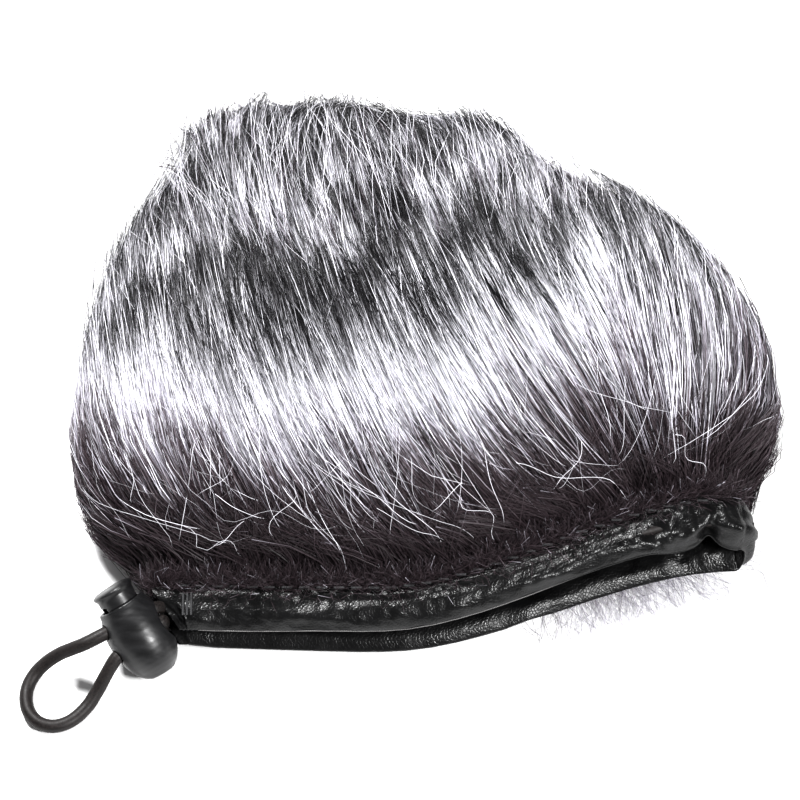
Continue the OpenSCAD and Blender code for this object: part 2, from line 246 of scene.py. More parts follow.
def fur_material():
    """Long fur pile, painted by the strands' own map: U along the dye band, V the hair's shade."""
    m = Nodes("fur_pile", Roughness=0.46)
    m.shader.inputs["Specular IOR Level"].default_value = 0.2
    uv = m.add("UVMap", uv_map="OFBake").outputs["UV"]
    split = m.add("SeparateXYZ", {"Vector": uv})
    band = m.ramp(
        split.outputs["X"],
        [
            (0.0, (0.022, 0.015, 0.018)),
            (0.34, (0.056, 0.041, 0.047)),
            (0.46, (0.150, 0.125, 0.142)),
            (0.54, (0.450, 0.430, 0.490)),
            (0.62, (0.860, 0.850, 0.905)),
            (0.79, (0.800, 0.795, 0.845)),
            (0.86, (0.200, 0.195, 0.210)),
            (0.90, (0.012, 0.011, 0.013)),
            (1.0, (0.008, 0.008, 0.009)),
        ],
    )
    shade = m.value_ramp(split.outputs["Y"], [(0.0, 0.3), (0.35, 0.80), (0.7, 1.0), (1.0, 1.0)])
    mixed = m.add("MixRGB", {"Fac": 1.0, "Color1": band, "Color2": shade}, blend_type="MULTIPLY")
    m.link(mixed.outputs["Color"], "Base Color")
    return m.material


def leatherette_material():
    """Black fine-grain leatherette with a soft sheen."""
    m = Nodes("leatherette", Roughness=0.4)
    m.shader.inputs["Specular IOR Level"].default_value = 0.34
    where = m.add("TexCoord").outputs["Object"]
    cells = m.add("TexVoronoi", {"Vector": where, "Scale": 1500.0}, feature="DISTANCE_TO_EDGE")
    grain = m.value_ramp(cells.outputs["Distance"], [(0.0, 0.0), (0.18, 0.8), (0.5, 1.0)])
    pores = m.add("TexNoise", {"Vector": where, "Scale": 5200.0, "Detail": 3.0}).outputs["Fac"]
    worn = m.add("TexNoise", {"Vector": where, "Scale": 260.0, "Detail": 4.0}).outputs["Fac"]
    black = [(0.3, (0.002, 0.002, 0.0022)), (0.7, (0.0045, 0.0045, 0.0048))]
    m.link(m.ramp(worn, black), "Base Color")
    m.link(m.value_ramp(worn, [(0.3, 0.26), (0.7, 0.36)]), "Roughness")
    fine = m.bump(pores, 0.25, 0.05 * MM)
    m.link(m.bump(grain, 0.32, 0.1 * MM, fine), "Normal")
    return m.material


def knit_material():
    """Fine knitted ground cloth."""
    m = Nodes("knit", Roughness=0.9, Sheen_Weight=0.2)
    waves = [
        m.add(
            "TexWave",
            {"Vector": m.place((1, 1, 1)), "Scale": scale, "Distortion": 1.2},
            bands_direction=axis,
        )
        for scale, axis in ((420.0, "X"), (300.0, "Y"))
    ]
    rows, wales = (wave.outputs["Fac"] for wave in waves)
    both = m.add("Math", {0: rows, 1: wales}, operation="MULTIPLY").outputs[0]
    m.link(m.ramp(both, [(0.1, (0.018, 0.015, 0.017)), (0.9, (0.060, 0.052, 0.058))]), "Base Color")
    m.link(m.bump(both, 0.6, 0.2 * MM), "Normal")
    return m.material


def thread_material(name, dark, light, darkens_from=None):
    """Twisted sewing thread; past a given X it turns nearly black over 10 mm."""
    m = Nodes(name, Roughness=0.6)
    wave = {"Vector": m.place((1, 1, 1)), "Scale": 1500.0, "Distortion": 0.5}
    twist = m.add("TexWave", wave, bands_direction="DIAGONAL").outputs["Fac"]
    colour = m.ramp(twist, [(0.2, dark), (0.8, light)])
    if darkens_from is not None:
        # Past the given X the thread's colour fades to near black over 10 mm
        where = m.add("TexCoord").outputs["Object"]
        along = m.add("SeparateXYZ", {"Vector": where}).outputs["X"]
        darkening = {"Value": along, "From Min": darkens_from, "From Max": darkens_from + 10 * MM}
        share = m.add("MapRange", darkening).outputs["Result"]
        mix = {"Fac": share, "Color1": colour, "Color2": (0.006, 0.006, 0.006, 1)}
        colour = m.add("MixRGB", mix).outputs["Color"]
    m.link(colour, "Base Color")
    m.link(m.bump(twist, 0.5, 0.05 * MM), "Normal")
    return m.material


def elastic_material():
    """Braided cover of the elastic cord, dark brown black."""
    m = Nodes("braided_elastic", Roughness=0.55)
    m.shader.inputs["Specular IOR Level"].default_value = 0.35
    where = m.place((1, 1, 1))
    fuzz = m.add("TexNoise", {"Vector": where, "Scale": 3000.0, "Detail": 2.0}).outputs["Fac"]
    m.link(m.ramp(fuzz, [(0.35, (0.005, 0.004, 0.004)), (0.7, (0.020, 0.015, 0.014))]), "Base Color")
    m.link(m.value_ramp(fuzz, [(0.3, 0.45), (0.7, 0.62)]), "Roughness")
    m.link(m.bump(fuzz, 0.35, 0.06 * MM), "Normal")
    return m.material


def plastic_material():
    """Satin black moulded plastic with faint handling marks."""
    m = Nodes("lock_plastic", Roughness=0.36)
    where = m.place((1, 1, 1))
    skin = m.add("TexNoise", {"Vector": where, "Scale": 2600.0, "Detail": 3.0}).outputs["Fac"]
    marks = m.add("TexNoise", {"Vector": m.place((1, 5, 1)), "Scale": 220.0, "Detail": 5.0}).outputs["Fac"]
    m.link(m.ramp(marks, [(0.35, (0.006, 0.006, 0.0065)), (0.7, (0.012, 0.012, 0.013))]), "Base Color")
    m.link(m.value_ramp(marks, [(0.3, 0.30), (0.7, 0.44)]), "Roughness")
    m.link(m.bump(skin, 0.18, 0.04 * MM), "Normal")
    return m.material


def steel_material():
    """Drawn spring wire."""
    m = Nodes("spring_wire", Roughness=0.3, Metallic=1.0)
    drawn = m.add("TexNoise", {"Vector": m.place((1, 1, 9)), "Scale": 1200.0}).outputs["Fac"]
    m.link(m.ramp(drawn, [(0.3, (0.42, 0.42, 0.43)), (0.7, (0.62, 0.62, 0.63))]), "Base Color")
    m.link(m.value_ramp(drawn, [(0.3, 0.22), (0.7, 0.4)]), "Roughness")
    return m.material


def floor_material():
    m = Nodes("pale_floor", Roughness=0.85)
    speck = m.add("TexNoise", {"Vector": m.place((1, 1, 1)), "Scale": 40.0, "Detail": 2.0}).outputs["Fac"]
    m.link(m.ramp(speck, [(0.3, (0.90, 0.90, 0.90)), (0.7, (0.93, 0.93, 0.93))]), "Base Color")
    return m.material


FUR = fur_material()
LEATHERETTE = leatherette_material()
KNIT = knit_material()
DARK_THREAD = thread_material("dark_thread", (0.010, 0.010, 0.011), (0.035, 0.035, 0.038))
PALE_THREAD = thread_material("pale_thread", (0.08, 0.08, 0.08), (0.30, 0.29, 0.29), 20 * MM)
ELASTIC = elastic_material()
PLASTIC = plastic_material()
STEEL = steel_material()


# --- Camera, floor and light ---------------------------------------------------------------

VIEW_TARGET = Vector((-5.5, -4.7, 12.3)) * MM
VIEW_ELEVATION = math.radians(60)
VIEW_DISTANCE = 0.9
VIEW_WIDTH = 160 * MM


def add_camera():
    data = bpy.data.cameras.new("camera")
    data.angle = 2 * math.atan(VIEW_WIDTH / 2 / VIEW_DISTANCE)
    data.clip_start = 0.01
    eye = bpy.data.objects.new("camera", data)
    back = Vector((0, -math.cos(VIEW_ELEVATION), math.sin(VIEW_ELEVATION)))
    eye.location = VIEW_TARGET + back * VIEW_DISTANCE
    eye.rotation_euler = back.to_track_quat("Z", "Y").to_euler()
    bpy.context.scene.collection.objects.link(eye)
    bpy.context.scene.camera = eye


def add_area(name, place, size, power, aim):
    data = bpy.data.lights.new(name, "AREA")
    data.shape = "DISK"
    data.size = size
    data.energy = power
    lamp = bpy.data.objects.new(name, data)
    lamp.location = place
    lamp.rotation_euler = (Vector(place) - Vector(aim)).to_track_quat("Z", "Y").to_euler()
    bpy.context.scene.collection.objects.link(lamp)


def add_stage():
    mesh = bpy.data.meshes.new("floor")
    half = 3.0
    corners = [(-half, -half, 0), (half, -half, 0), (half, half, 0), (-half, half, 0)]
    mesh.from_pydata(corners, [], [(0, 1, 2, 3)])
    mesh.materials.append(floor_material())
    floor = bpy.data.objects.new("floor", mesh)
    floor.location.z = -0.02 * MM
    bpy.context.scene.collection.objects.link(floor)
    world = bpy.data.worlds.new("studio")
    world.use_nodes = True
    sky = world.node_tree.nodes["Background"].inputs
    sky["Color"].default_value = (1, 1, 1, 1)
    sky["Strength"].default_value = 0.3
    bpy.context.scene.world = world
    add_area("key", (-0.35, 0.42, 0.76), 0.2, 17.0, (0, 0, 0))
    add_area("fill", (0.5, -0.42, 0.66), 0.18, 11.0, (0, 0, 0))
    look = bpy.context.scene.view_settings
    look.view_transform = "Standard"
    look.gamma = 0.85
    look.exposure = 0.12


add_camera()
add_stage()


# --- The drawcord --------------------------------------------------------------------------

CORD_D = 2.7 * MM
LOCK_AT = np.array([-56.4, -54.8, 7.6]) * MM
JOINTS = {j["name"]: j for j in frame["joints"]}
OUT_DIR = unit(np.array(JOINTS["lock_slide"]["axis"], float))
PLUNGER_DIR = -unit(np.array(JOINTS["plunger_press"]["axis"], float))
# Along the plunger: the middle of the two strands, half their gap, and how they spread outwards
STRAND_MID = 1.2 * MM
STRAND_HALF = 2 * MM
STRAND_SPREAD = math.tan(math.radians(6))
STRAND_OUT = 6.6 * MM
STRAND_MEET = 4 * MM  # where the leads end and the loop starts, inside the lock
# The route of the free cord, from the lock round the loop and back
LOOP_POINTS = np.array([
    [-66.8, -57.5, 8.9], [-69.5, -57.8, 7.2], [-72, -58, 5.4], [-74.6, -58.9, 3.6], [-76.8, -60.6, 2.2],
    [-78.2, -63.1, 1.5], [-78.5, -66, 1.4], [-77.8, -68.7, 1.4], [-76, -70.8, 1.4], [-73.5, -71.7, 1.4],
    [-71, -71.3, 1.4], [-68.6, -69.8, 1.4], [-66.4, -67.5, 1.8], [-64.6, -65, 3], [-63, -62.6, 4.8],
]) * MM  # fmt: skip


def strand_point(side, out):
    """A point of one of the two strands in the lock: side is 1 or -1, out the way out of the lock."""
    return LOCK_AT + out * OUT_DIR + (STRAND_MID + side * (STRAND_HALF + out * STRAND_SPREAD)) * PLUNGER_DIR


def braid(name, line, radius, step=0.28 * MM):
    """A braided round cord along a line: two sets of plaited strands stand proud of its skin."""
    sides, carriers, pitch = 24, 12, 4.4 * MM
    rings = max(12, int(length_of(line) / step))
    path = evenly(line, rings)
    along = np.linspace(0, length_of(path), rings)
    forward = unit(np.gradient(path, axis=0))
    side = unit(np.cross(forward, UP))
    rise = np.cross(side, forward)
    angle = np.arange(sides) * 2 * math.pi / sides
    turn = along[:, None] / pitch * 2 * math.pi
    one = np.abs(np.sin(carriers / 2 * (angle[None, :] + turn)))
    two = np.abs(np.sin(carriers / 2 * (angle[None, :] - turn)))
    r = radius * (0.92 + 0.08 * np.maximum(one, two) ** 0.7)
    points = (
        path[:, None]
        + (r * np.cos(angle))[..., None] * side[:, None]
        + (r * np.sin(angle))[..., None] * rise[:, None]
    ).reshape(-1, 3)
    faces = grid_faces(rings, sides, True)
    return new_object(name, points, faces[:, ::-1], ELASTIC)


def centre_line(name, n):
    """The middle line of a CAD tube that runs along X."""
    low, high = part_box(name)
    xs = np.linspace(low[0] + 0.4 * MM, high[0] - 0.4 * MM, n)
    return np.array([[x, *cut_at(name, x).mean(0)] for x in xs])


def add_cords():
    radius = CORD_D / 2
    for where in ("front", "back"):
        piece = braid(f"channel_cord_{where}", centre_line(f"drawcord_{where}", 30), radius)
        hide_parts(f"drawcord_{where}")
        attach(piece, "pouch")
        hem_end = centre_line(f"drawcord_{where}", 3)[0]
        side = 1 if where == "front" else -1
        inside = [strand_point(side, k * MM) for k in (-5.2, -3.5, -1, 1.5)]
        inside.append(strand_point(side, STRAND_MEET))
        lead = braid(f"cord_lead_{where}", [hem_end, hem_end - [2.2 * MM, 0, 0], *inside], radius)
        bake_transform(lead)
    route = [strand_point(1, STRAND_MEET), strand_point(1, STRAND_OUT), *LOOP_POINTS]
    route += [strand_point(-1, STRAND_OUT), strand_point(-1, STRAND_MEET)]
    line = evenly(route, 160)
    loop = braid("drawcord_loop_braid", line, radius, 0.12 * MM)
    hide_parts("drawcord_loop")
    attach(loop, "lock")


# --- The cord lock ---------------------------------------------------------------------------


def moulded(name, node, body, voxel, passes):
    """A copy of a CAD node with the soft edges of a moulding."""
    copy = NODES[node].copy()
    copy.data = NODES[node].data.copy()
    copy.name = name
    for key in [k for k in copy.keys() if k.startswith("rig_")]:
        del copy[key]
    copy.parent = None
    bpy.context.scene.collection.objects.link(copy)
    remesh = copy.modifiers.new("remesh", "REMESH")
    remesh.mode = "VOXEL"
    remesh.voxel_size = voxel
    soften = copy.modifiers.new("soften", "SMOOTH")
    soften.factor = 0.5
    soften.iterations = passes
    mesh = bpy.data.meshes.new_from_object(copy.evaluated_get(bpy.context.evaluated_depsgraph_get()))
    bpy.data.objects.remove(copy)
    piece = bpy.data.objects.new(name, mesh)
    bpy.context.scene.collection.objects.link(piece)
    mesh.materials.clear()
    mesh.materials.append(PLASTIC)
    mesh.polygons.foreach_set("use_smooth", np.ones(len(mesh.polygons), bool))
    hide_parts(node)
    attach(piece, body)
    return piece


def add_spring():
    """The spring under the button."""
    points, triangles = arrays("lock_spring")
    piece = new_object("lock_coil", points, triangles, STEEL)
    height = points @ PLUNGER_DIR
    foot = points[height.argmin()]
    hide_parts("lock_spring")
    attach(piece, "lock")
    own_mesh(piece)
    return piece


LOCK_PIECES = [
    moulded("lock_shell", "lock_body", "lock", 0.2 * MM, 5),
    moulded("lock_button", "lock_plunger", "plunger", 0.18 * MM, 5),
    add_spring(),
]
add_cords()


# --- The hem -----------------------------------------------------------------------------------

HEM_STATIONS = 24
HEM_ROWS = 300  # rings along each of the front and the back
TURN_ROWS = 32  # rings round the right end, between them
HEM_SIDES = 64
TURN_BULGE = 1.7 * MM
# Round the casing's cross-section: the angle, and how far across the strip it lies, from lip to fur
CASING_ANGLE = (np.arange(HEM_SIDES) + 0.5) * 2 * math.pi / HEM_SIDES
CASING_W = np.sign(np.cos(CASING_ANGLE)) * np.abs(np.cos(CASING_ANGLE)) ** 0.75


class Casing:
    """A leatherette casing's strip, read from its CAD node: at each X its middle, slope and size."""

    def __init__(self, node):
        low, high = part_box(node)
        self.left, self.right = low[0], high[0]
        self.xs = np.linspace(low[0] + 7 * MM, high[0] - 0.6 * MM, HEM_STATIONS)
        rows = []
        for x in self.xs:
            p = cut_at(node, x)
            gap = np.linalg.norm(p[:, None] - p[None], axis=2)
            i, k = np.unravel_index(gap.argmax(), gap.shape)
            a, b = sorted((p[i], p[k]), key=lambda q: q[0])
            inward = (b - a) / np.linalg.norm(b - a)
            across = np.array([-inward[1], inward[0]])
            middle = (a + b) / 2
            rows.append([*middle, *inward, gap.max() / 2, np.abs((p - middle) @ across).max()])
        self.rows = np.array(rows)

    def at(self, x):
        """Middle (x, y, z), inward direction, and half width and thickness at an array of X."""
        y, z, iy, iz, half_w, half_t = (np.interp(x, self.xs, self.rows[:, k]) for k in range(6))
        middle = np.stack([x, y, z], axis=-1)
        return middle, np.stack([0 * x, iy, iz], axis=-1), np.stack([half_w, half_t], axis=-1)


def casing_run():
    """The casing's middle line from the front's left end, round the right end, to the back's left end."""
    front, back = Casing("hem_front"), Casing("hem_back")
    turn_x = front.right - 2.4 * MM
    along = np.linspace(front.left, turn_x, HEM_ROWS)
    first, second = front.at(along), back.at(along[::-1])
    angle = np.linspace(0, math.pi, TURN_ROWS + 2)[1:-1, None]
    a, b = first[0][-1], second[0][0]
    arc = (a + b) / 2 + (a - b) / 2 * np.cos(angle) + np.array([TURN_BULGE, 0, 0]) * np.sin(angle)
    share = angle / math.pi
    blend = [first[k][-1] * (1 - share) + second[k][0] * share for k in (1, 2)]
    blend[1] = blend[1] * (1 - [0.12, 0.25] * np.sin(angle))
    run = [np.concatenate(parts) for parts in zip(first, (arc, *blend), second, strict=True)]
    return run, np.concatenate([np.zeros(HEM_ROWS), share[:, 0], np.ones(HEM_ROWS)])


def spot(x, w, at_x, at_w, size_x, size_w):
    """A soft bump on the casing: millimetres along X, and shares of its half width across it."""
    return np.exp(-(((x - at_x * MM) / (size_x * MM)) ** 2) - ((w - at_w) / size_w) ** 2)


def folds(x, w, seed, stretch, size):
    """Soft folds, from -1 to 1: stretch is how much longer than wide they are."""
    rows = zip(x, w, strict=True)
    return np.array([
        [noise.noise(Vector((a / (size * stretch * MM) + b * 0.8, b * 4.5 / size, seed))) for b in row_w]
        for a, row_w in rows
    ])  # fmt: skip


def casing_relief(x, w, part):
    """How far the leatherette stands out of its plain shape, and how far its lip moves out."""
    to_end = np.minimum(smooth((x - 35 * MM) / (20 * MM)) + smooth((-45 * MM - x) / (8 * MM)), 1)[:, None]
    x = x[:, None]
    in_front, at_back = (part < 0.3)[:, None], (part > 0.7)[:, None]
    relief = (0.7 + 0.5 * to_end) * folds(x[:, 0], w, 3.3, 3.0, 3.0)
    relief += (0.25 + 0.45 * to_end) * folds(x[:, 0], w, 8.1, 1.2, 1.4)
    groove = (
        spot(x, w, 4, 0.30, 34, 0.13)
        + spot(x, w, 34, -0.12, 16, 0.12)
        + 0.7 * spot(x, w, -30, 0.1, 14, 0.1)
    )
    lobes = spot(x, w, 50, -0.42, 4.2, 0.34) + 1.1 * spot(x, w, 59.6, -0.30, 3.0, 0.38)
    pucker = spot(x, w, 55.2, -0.62, 1.5, 0.42) + 0.4 * spot(x, w, 44.5, -0.1, 1.6, 0.4)
    relief += in_front * (1.6 * lobes - 2.5 * pucker - 0.8 * groove)
    back_folds = (
        spot(x, w, 47, -0.3, 2.0, 0.6)
        + spot(x, w, 55, -0.1, 1.8, 0.7)
        - spot(x, w, 51, -0.2, 1.7, 0.6)
    )
    relief += at_back * 1.1 * back_folds
    lip = in_front * (0.9 * spot(x, w, 49, -1, 4, 0.7) + 0.7 * spot(x, w, 60, -1, 3, 0.7))
    lip -= in_front * 2.0 * spot(x, w, 55.2, -1, 1.6, 0.8)
    return relief * MM, lip * MM


def casing_shape():
    """The band's rings of points, and at each ring its outward and inward directions."""
    (middle, inward, half), part = casing_run()
    rows = len(middle)
    w = CASING_W[None] + np.zeros((rows, 1))
    side = np.sin(CASING_ANGLE)[None] + np.zeros((rows, 1))
    forward = unit(np.gradient(middle, axis=0))
    out = unit(np.cross(forward, inward))
    relief, lip = casing_relief(middle[:, 0], w, part)
    bulge = 0.5 + 0.5 * np.exp(-(((w + 0.05) / 0.8) ** 4))
    bulge *= 1 - 0.22 * smooth((w - 0.5) / 0.5)
    bulge *= np.where(side > 0, 1.0, 0.8)
    v = (half[:, 1:] * bulge + np.where(side > 0, relief, 0.3 * relief)) * side
    wider = 0.34 * smooth((middle[:, :1] - 38 * MM) / (16 * MM)) * (w > 0) * (part < 0.3)[:, None]
    u = half[:, :1] * w * (1 + wider) - lip
    to_left = smooth((middle[:, :1] - middle[0, 0]) / (8 * MM))
    shift = (6.5 * (1 - w) / 2 - 1.4) * MM * (1 - to_left)
    v = v * (0.72 + 0.28 * to_left)
    points = middle[:, None] + u[..., None] * inward[:, None] + v[..., None] * out[:, None]
    points[..., 0] += shift
    points[..., 2] = np.maximum(points[..., 2], 0.05 * MM)
    return points, out, inward


def add_hem():
    """One band of leatherette round the mouth: a flat tube with a thin fold at its lip."""
    points, out, inward = casing_shape()
    faces = grid_faces(len(points), HEM_SIDES, True)
    piece = new_object("hem_casing", points.reshape(-1, 3), faces, LEATHERETTE)
    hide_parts("hem_front", "hem_back", "mouth_facing")
    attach(piece, "pouch")
    return points, out, inward


def add_lip_thread(points, out, inward):
    """The pale thread that edges the front lip."""
    k = int(np.argmin(points[HEM_ROWS // 2, :, 1]))
    x, in_front = points[:, k, 0], np.arange(len(points)) < HEM_ROWS
    keep = (x > -45 * MM) & (x < 57 * MM) & in_front
    line = points[keep, k] - 0.05 * MM * inward[keep]
    s = np.arange(len(line))[:, None] * 0.4
    line = line + 0.09 * MM * (np.sin(0.31 * s) + np.sin(0.83 * s + 2)) * out[keep]
    piece = braid("lip_edging", line, 0.1 * MM)
    piece.data.materials.clear()
    piece.data.materials.append(PALE_THREAD)
    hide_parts("lip_thread")
    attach(piece, "pouch")


HEM_RUN = add_hem()
add_lip_thread(*HEM_RUN)
for node in ("hem_stitches_front", "hem_stitches_back", "exit_tacks", "cord_end_tack", "edge_seam"):
    NODES[node].data.materials.clear()
    NODES[node].data.materials.append(DARK_THREAD)


def knit_layer(name, node):
    """The ground cloth of one panel: a sheet of knit, a little uneven."""
    points, triangles = arrays(node)
    waves = [noise.noise(Vector(p * 160)) for p in points]
    points[:, 2] += 0.12 * MM * np.array(waves)
    piece = new_object(name, points, triangles, KNIT)
    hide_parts(node)
    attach(piece, "pouch")
    return piece


# The knit of the two panels, whose flat cuts are each a rounded D
KNIT_FRONT = knit_layer("knit_front", "backing_front")
KNIT_BACK = knit_layer("knit_back", "backing_back")


# --- The fur -------------------------------------------------------------------------------------

HEM_LINE = centre_line("drawcord_front", 24)
CLOTH_MIDDLE = np.array(
    [np.mean([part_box("backing_front")[k][a] for k in (0, 1)]) for a in (0, 1)]
    + [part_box("backing_back")[1][2]]
)
CLOTH = {up: outer_faces(name, up, CLOTH_MIDDLE) for up, name in ((1, "backing_front"), (-1, "backing_back"))}
PILE = {up: outer_faces(name, up, CLOTH_MIDDLE) for up, name in ((1, "fur_front"), (-1, "fur_back"))}
CLOTH_TREE = tree(CLOTH.values())
PILE_TREE = tree(PILE.values())
FUR_LOW, FUR_HIGH = (np.array(c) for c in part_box("fur_front"))

# How far the hairs lean to the left on their way to the crown, in degrees: rows from the hem
# to the crown, columns from left to right
LEAN = np.array([
    [38, 14, 10, 18, 28, 36, 26, -20],
    [12, 8, 12, 20, 26, 32, 14, -6],
    [10, 12, 16, 18, 20, 18, 6, 0],
    [20, 22, 4, 12, 14, 10, 6, 4],
    [26, 26, -8, 8, 12, 10, 8, 6],
], float)  # fmt: skip


def lean_at(p):
    """The lean at points, interpolated over the plan of the pile."""
    f = np.clip((p[:, :2] - FUR_LOW[:2]) / (FUR_HIGH[:2] - FUR_LOW[:2]), 0, 1)
    rows, columns = LEAN.shape
    r, c = f[:, 1] * (rows - 1), f[:, 0] * (columns - 1)
    i, k = np.minimum(r.astype(int), rows - 2), np.minimum(c.astype(int), columns - 2)
    a, b = smooth(r - i), smooth(c - k)
    top = LEAN[i, k] * (1 - b) + LEAN[i, k + 1] * b
    low = LEAN[i + 1, k] * (1 - b) + LEAN[i + 1, k + 1] * b
    return np.radians(top * (1 - a) + low * a)


def nearest(search, points):
    """The nearest places on a surface, and its normals there."""
    found = [search.find_nearest(Vector(p)) for p in points]
    return np.array([f[0] for f in found]), np.array([f[1] for f in found])


def scatter(up, n, rng, weight):
    """n roots on one half of the cloth, denser where weight says."""
    points, triangles = CLOTH[up]
    centre, normal, area = face_frames(points, triangles)
    share = area * weight(centre)
    i = rng.choice(len(triangles), n, p=share / share.sum())
    a, b, c = (points[triangles[i, k]] for k in range(3))
    u, v = rng.random((2, n, 1))
    u, v = np.where(u + v > 1, 1 - u, u), np.where(u + v > 1, 1 - v, v)
    return a + u * (b - a) + v * (c - a), normal[i]


def along_pouch(p):
    """0 at the hem and 1 at the crown."""
    hem_y = np.interp(p[:, 0], HEM_LINE[:, 0], HEM_LINE[:, 1])
    return np.clip((p[:, 1] - hem_y) / (FUR_HIGH[1] - hem_y), 0, 1)


def tuft(p):
    """How far hairs at these places belong to one of the two tufts at the crown, the left one or
    the lesser one at the right."""
    left = np.exp(-(((p[:, 0] + 40 * MM) / (11 * MM)) ** 2) - ((p[:, 1] - 50 * MM) / (18 * MM)) ** 2)
    right = np.exp(-(((p[:, 0] - 20 * MM) / (15 * MM)) ** 2) - ((p[:, 1] - 48 * MM) / (13 * MM)) ** 2)
    return left + 0.8 * right


def looseness(place):
    """How far hairs at these places leave the pile's face, in the tufts and near the crown."""
    free = 0.3 * smooth((place[:, 1] - 34 * MM) / (14 * MM)) + 0.55 * tuft(place)
    free = free * smooth((place[:, 2] - 10 * MM) / (8 * MM))
    return (free * (1 - smooth((place[:, 1] - 50 * MM) / (14 * MM))))[:, None]


def growth(steps):
    """Where a hair's points lie along it, from 0 to 1: closer together near the root, where it bends."""
    share = 0.4 + smooth(np.arange(steps - 1) / 3)
    return np.concatenate([[0], np.cumsum(share / share.sum())])


def walk(roots, normals, length, rank, steps, rise, jitter, bend=0.45):
    """Guide hairs from their roots towards the crown. rank is how near the pile's outer face each
    one ends, from 0 to 1 and a bit over; rise is how far along it gets there."""
    t = growth(steps)
    place, heading = roots.copy(), normals
    line, outward = [place], [normals]
    for k in range(1, steps):
        step = (length * (t[k] - t[k - 1]))[:, None]
        free = looseness(place)
        _, pile_n = nearest(PILE_TREE, place)
        lean = lean_at(place) + jitter
        flow = np.stack([-np.sin(lean), np.cos(lean), 0 * lean], axis=1)
        flow = unit(flow - (1 - free) * (flow * pile_n).sum(1, keepdims=True) * pile_n)
        heading = unit(heading * bend + flow * (1 - bend)) if k > 1 else unit(0.35 * normals + flow)
        ahead = place + heading * step
        cloth, _ = nearest(CLOTH_TREE, ahead)
        pile, pile_n = nearest(PILE_TREE, ahead)
        at_left = smooth((-ahead[:, 0] - 35 * MM) / (25 * MM))
        part = rank * (1 - np.exp(-length * t[k] / rise)) * (1 - 0.24 * at_left)
        wanted = cloth + (pile - cloth) * part[:, None]
        ahead = ahead + (wanted - ahead) * 0.65 * (1 - free)
        place = place + unit(ahead - place) * step
        place[:, 2] = np.maximum(place[:, 2], 0.25 * MM)
        line.append(place)
        outward.append(pile_n)
    return np.stack(line, axis=1), np.stack(outward, axis=1)


def gather(lines, macro_n, strength, rng):
    """Pulls guides into broad locks; returns the lines and each guide's lock number."""
    pick = rng.choice(len(lines), macro_n, replace=False)
    search = KDTree(macro_n)
    for i, k in enumerate(pick):
        search.insert(lines[k, 0], i)
    search.balance()
    lock = np.array([search.find(p)[1] for p in lines[:, 0]])
    t = growth(lines.shape[1])[None, :, None]
    target = lines[pick[lock]]
    return lines + (target - lines) * strength * t**1.6, lock


def bundle(lines, outward, per, spread, clump, frizz, rng):
    """per hairs round each guide line, closing in on it towards the tips."""
    g, n, _ = lines.shape
    heading = unit(np.gradient(lines, axis=1))
    side = unit(np.cross(heading, outward))
    t = growth(n)[None, None, :, None]
    angle = rng.random((g, per, 1, 1)) * 2 * math.pi
    away = spread * np.sqrt(rng.random((g, per, 1, 1)))
    closing = 1 - clump * t
    offset = away * closing * (np.cos(angle) * side[:, None] + 0.5 * np.sin(angle) * outward[:, None])
    phase = rng.random((g, per, 2, 1, 1)) * 2 * math.pi
    waves = rng.uniform(0.6, 2.2, (g, per, 2, 1, 1))
    size = frizz * rng.random((g, per, 2, 1, 1)) ** 2
    wave = size * t[:, :, None] * np.sin(phase + waves * 2 * math.pi * t[:, :, None])
    offset = offset + wave[:, :, 0] * side[:, None] + 0.6 * wave[:, :, 1] * outward[:, None]
    hairs = lines[:, None] + offset
    return hairs.reshape(g * per, n, 3), np.repeat(outward[:, None], per, axis=1).reshape(g * per, n, 3)


def shorten(hairs, factor):
    """Cuts each hair to a share of its length, keeping its number of points."""
    count, n, _ = hairs.shape
    t = growth(n)
    at = np.interp(t[None] * factor[:, None], t, np.arange(n))
    i = np.minimum(at.astype(int), n - 2)
    k = (at - i)[..., None]
    rows = np.arange(count)[:, None]
    return hairs[rows, i] * (1 - k) + hairs[rows, i + 1] * k


def ribbons(name, hairs, outward, width, band, shade, rng, twist=0.9):
    """Hairs as thin tapered ribbons. band and width are (hairs, points), shade is (hairs,)."""
    count, n, _ = hairs.shape
    heading = unit(np.gradient(hairs, axis=1))
    side = unit(np.cross(heading, outward))
    over = np.cross(side, heading)
    turn = rng.normal(0, twist, (count, 1, 1))
    side = side * np.cos(turn) + over * np.sin(turn)
    half = side * (width / 2)[..., None]
    points = np.stack([hairs - half, hairs + half], axis=2).reshape(-1, 3)
    points[:, 2] = np.maximum(points[:, 2], 0.1 * MM)
    base = (np.arange(count) * 2 * n)[:, None] + np.arange(n - 1)[None] * 2
    faces = np.stack([base, base + 1, base + 3, base + 2], axis=-1).reshape(-1, 4)
    piece = new_object(name, points, faces, FUR)
    lean = 0.004
    v = np.clip(shade, 2 * lean, 1 - 2 * lean)[:, None, None] + np.array([-lean, lean])[None, None]
    uv = np.stack([np.broadcast_to(np.clip(band, 0.003, 0.997)[..., None], (count, n, 2)),
                   np.broadcast_to(v, (count, n, 2))], axis=-1).reshape(-1, 2)
    layer = piece.data.uv_layers.new(name="OFBake")
    layer.data.foreach_set("uv", uv[faces.ravel()].astype(np.float32).ravel())
    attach(piece, "pouch")
    return piece


def taper(n, root, tip):
    """A hair's width at its n points."""
    t = growth(n)[None]
    return root + (tip - root) * t**1.4


MAX_QUADS = 98_000  # in one piece
MOST_X, MOST_Y = 77 * MM, 65.5 * MM  # no hair is kept that goes beyond these


